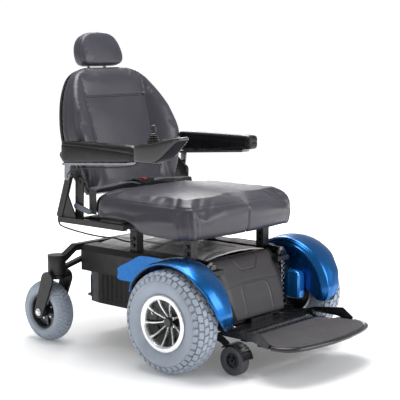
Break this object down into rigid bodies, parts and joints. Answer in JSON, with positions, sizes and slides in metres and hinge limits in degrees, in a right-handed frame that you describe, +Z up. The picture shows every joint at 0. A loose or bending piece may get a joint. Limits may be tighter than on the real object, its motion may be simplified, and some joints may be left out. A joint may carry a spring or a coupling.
{
  "type": "power wheelchair",
  "caption": "Battery wheelchair: two wide drive wheels, rear casters on a rocking beam, high-back vinyl seat, flip-up armrests, stick controller and flip-up footplate.",
  "frame": {"origin": "middle of the chair's bounding box, on the floor", "axes": "+Z up, -Y the front of the chair, -X the sitter's right"},
  "size_m": [0.82, 1.195, 1.1374],
  "materials": {
    "tyre_grey": "matt grey non-marking rubber",
    "rim_silver": "bright machined",
    "hub_black": "gloss",
    "frame_black": "satin powder coat",
    "blue_paint": "metallic gloss",
    "shroud_charcoal": "fine moulded grain",
    "panel_black": "fine moulded grain",
    "cover_silver": "satin",
    "vinyl_black": "semi-gloss vinyl",
    "arm_vinyl": "semi-gloss vinyl",
    "bright_steel": "polished",
    "battery_case": "satin",
    "module_alloy": "cast",
    "motor_black": "satin",
    "webbing": "woven nylon",
    "red_key": "gloss",
    "yellow_lever": "satin",
    "keypad_grey": "satin",
    "controller_black": "satin",
    "mat_rubber": "ribbed",
    "plate_black": "satin",
    "cable_black": "matt",
    "antitip_rubber": "satin",
    "caster_alloy": "gloss",
    "spring_steel": "oiled"
  },
  "bodies": {
    "base": {"main_frame": "frame_black", "battery_tray": "frame_black", "batteries": "battery_case", "power_module": "module_alloy", "front_shroud": "shroud_charcoal", "top_cover": "cover_silver", "body_panels": "panel_black", "blue_trims": "blue_paint", "fenders": "blue_paint", "gear_motors": "motor_black", "spring_housings": "frame_black", "suspension_springs": "spring_steel", "seat_towers": "frame_black", "seat_frame": "frame_black", "seat_cushion": "vinyl_black", "arm_posts": "frame_black", "belt_webbing": "webbing", "belt_buckle": "hub_black", "harness_cable": "cable_black", "footplate_carrier": "frame_black"},
    "drive_wheel_right": {"drive_tyre_right": "tyre_grey", "drive_rim_right": "rim_silver", "drive_hub_right": "hub_black"},
    "drive_wheel_left": {"drive_tyre_left": "tyre_grey", "drive_rim_left": "rim_silver", "drive_hub_left": "hub_black"},
    "rear_beam": {"rear_beam": "frame_black"},
    "caster_fork_right": {"caster_fork_right": "frame_black"},
    "caster_wheel_right": {"caster_tyre_right": "tyre_grey", "caster_rim_right": "caster_alloy"},
    "antitip_arm_right": {"antitip_arm_right": "frame_black"},
    "antitip_wheel_right": {"antitip_wheel_right": "antitip_rubber"},
    "caster_fork_left": {"caster_fork_left": "frame_black"},
    "caster_wheel_left": {"caster_tyre_left": "tyre_grey", "caster_rim_left": "caster_alloy"},
    "antitip_arm_left": {"antitip_arm_left": "frame_black"},
    "antitip_wheel_left": {"antitip_wheel_left": "antitip_rubber"},
    "footplate": {"footplate": "plate_black", "footplate_mat": "mat_rubber"},
    "armrest_right": {"armrest_pad_right": "arm_vinyl", "armrest_rail_right": "bright_steel", "controller_case": "controller_black", "joystick_gaiter": "cable_black", "controller_cable": "cable_black"},
    "armrest_left": {"armrest_pad_left": "arm_vinyl", "armrest_rail_left": "bright_steel"},
    "gimbal": {"joystick_gimbal": "bright_steel"},
    "stick": {"joystick": "controller_black"},
    "power_key": {"power_button": "keypad_grey"},
    "horn_key": {"horn_button": "keypad_grey"},
    "dial": {"speed_dial": "keypad_grey"},
    "backrest": {"back_frame": "bright_steel", "back_shell": "panel_black", "back_cushion": "vinyl_black"},
    "headrest": {"headrest_posts": "bright_steel", "headrest_pad": "vinyl_black"},
    "recline_lever": {"recline_lever": "module_alloy"},
    "buckle_button": {"buckle_button": "red_key"},
    "freewheel_right": {"freewheel_lever_right": "yellow_lever"},
    "freewheel_left": {"freewheel_lever_left": "yellow_lever"}
  },
  "joints": [
    {"name": "drive_right", "type": "hinge", "parent": "base", "child": "drive_wheel_right", "pos_m": [0, -0.155, 0.175], "axis": [1, 0, 0], "continuous": true},
    {"name": "drive_left", "type": "hinge", "parent": "base", "child": "drive_wheel_left", "pos_m": [0, -0.155, 0.175], "axis": [1, 0, 0], "continuous": true},
    {"name": "beam_rock", "type": "hinge", "parent": "base", "child": "rear_beam", "pos_m": [0, 0.4, 0.32], "axis": [0, 1, 0], "range_deg": [-5, 5]},
    {"name": "swivel_right", "type": "hinge", "parent": "rear_beam", "child": "caster_fork_right", "pos_m": [-0.33, 0.431, 0.29], "axis": [0, 0, 1], "continuous": true},
    {"name": "caster_roll_right", "type": "hinge", "parent": "caster_fork_right", "child": "caster_wheel_right", "pos_m": [-0.33, 0.478, 0.112], "axis": [1, 0, 0], "continuous": true},
    {"name": "swivel_left", "type": "hinge", "parent": "rear_beam", "child": "caster_fork_left", "pos_m": [0.33, 0.431, 0.29], "axis": [0, 0, 1], "continuous": true},
    {"name": "caster_roll_left", "type": "hinge", "parent": "caster_fork_left", "child": "caster_wheel_left", "pos_m": [0.33, 0.478, 0.112], "axis": [1, 0, 0], "continuous": true},
    {"name": "antitip_right", "type": "hinge", "parent": "base", "child": "antitip_arm_right", "pos_m": [-0.24, -0.15, 0.14], "axis": [-1, 0, 0], "range_deg": [0, 4], "stiffness_Nm_per_rad": 400, "deforming": ["suspension_springs"]},
    {"name": "antitip_roll_right", "type": "hinge", "parent": "antitip_arm_right", "child": "antitip_wheel_right", "pos_m": [-0.24, -0.334, 0.052], "axis": [1, 0, 0], "continuous": true},
    {"name": "antitip_left", "type": "hinge", "parent": "base", "child": "antitip_arm_left", "pos_m": [0.24, -0.15, 0.14], "axis": [-1, 0, 0], "range_deg": [0, 4], "stiffness_Nm_per_rad": 400, "deforming": ["suspension_springs"]},
    {"name": "antitip_roll_left", "type": "hinge", "parent": "antitip_arm_left", "child": "antitip_wheel_left", "pos_m": [0.24, -0.334, 0.052], "axis": [1, 0, 0], "continuous": true},
    {"name": "footplate_flip", "type": "hinge", "parent": "base", "child": "footplate", "pos_m": [0, -0.33, 0.133], "axis": [-1, 0, 0], "range_deg": [0, 88]},
    {"name": "armrest_flip_right", "type": "hinge", "parent": "base", "child": "armrest_right", "pos_m": [-0.312, 0.385, 0.612], "axis": [-1, 0, 0], "range_deg": [0, 90]},
    {"name": "armrest_flip_left", "type": "hinge", "parent": "base", "child": "armrest_left", "pos_m": [0.312, 0.385, 0.612], "axis": [-1, 0, 0], "range_deg": [0, 90]},
    {"name": "stick_pitch", "type": "hinge", "parent": "armrest_right", "child": "gimbal", "pos_m": [-0.312, -0.04, 0.75], "axis": [1, 0, 0], "range_deg": [-15, 15], "stiffness_Nm_per_rad": 0.3, "deforming": ["joystick_gaiter"]},
    {"name": "stick_roll", "type": "hinge", "parent": "gimbal", "child": "stick", "pos_m": [-0.312, -0.04, 0.75], "axis": [0, 1, 0], "range_deg": [-15, 15], "stiffness_Nm_per_rad": 0.3, "deforming": ["joystick_gaiter"]},
    {"name": "power_press", "type": "slide", "parent": "armrest_right", "child": "power_key", "axis": [0, -0.225, -0.9744], "range_m": [0, 0.0012], "stiffness_N_per_m": 800},
    {"name": "horn_press", "type": "slide", "parent": "armrest_right", "child": "horn_key", "axis": [0, -0.225, -0.9744], "range_m": [0, 0.0012], "stiffness_N_per_m": 800},
    {"name": "dial_turn", "type": "hinge", "parent": "armrest_right", "child": "dial", "pos_m": [-0.312, -0.14618, 0.7772], "axis": [0, 0.225, 0.9744], "range_deg": [-135, 135]},
    {"name": "back_fold", "type": "hinge", "parent": "base", "child": "backrest", "pos_m": [0, 0.352, 0.592], "axis": [1, 0, 0], "range_deg": [-15, 60]},
    {"name": "headrest_height", "type": "slide", "parent": "backrest", "child": "headrest", "axis": [0, 0.3007, 0.9537], "range_m": [0, 0.06]},
    {"name": "recline_lever_pull", "type": "hinge", "parent": "base", "child": "recline_lever", "pos_m": [-0.29, 0.362, 0.506], "axis": [-1, 0, 0], "range_deg": [0, 20], "stiffness_Nm_per_rad": 2.5, "springref_deg": -5.73},
    {"name": "buckle_press", "type": "slide", "parent": "base", "child": "buckle_button", "axis": [-1, 0, 0], "range_m": [0, 0.0025], "stiffness_N_per_m": 800},
    {"name": "freewheel_right", "type": "hinge", "parent": "base", "child": "freewheel_right", "pos_m": [-0.24, 0.093, 0.175], "axis": [0, 1, 0], "range_deg": [-60, 0]},
    {"name": "freewheel_left", "type": "hinge", "parent": "base", "child": "freewheel_left", "pos_m": [0.24, 0.093, 0.175], "axis": [0, 1, 0], "range_deg": [0, 60]}
  ]
}
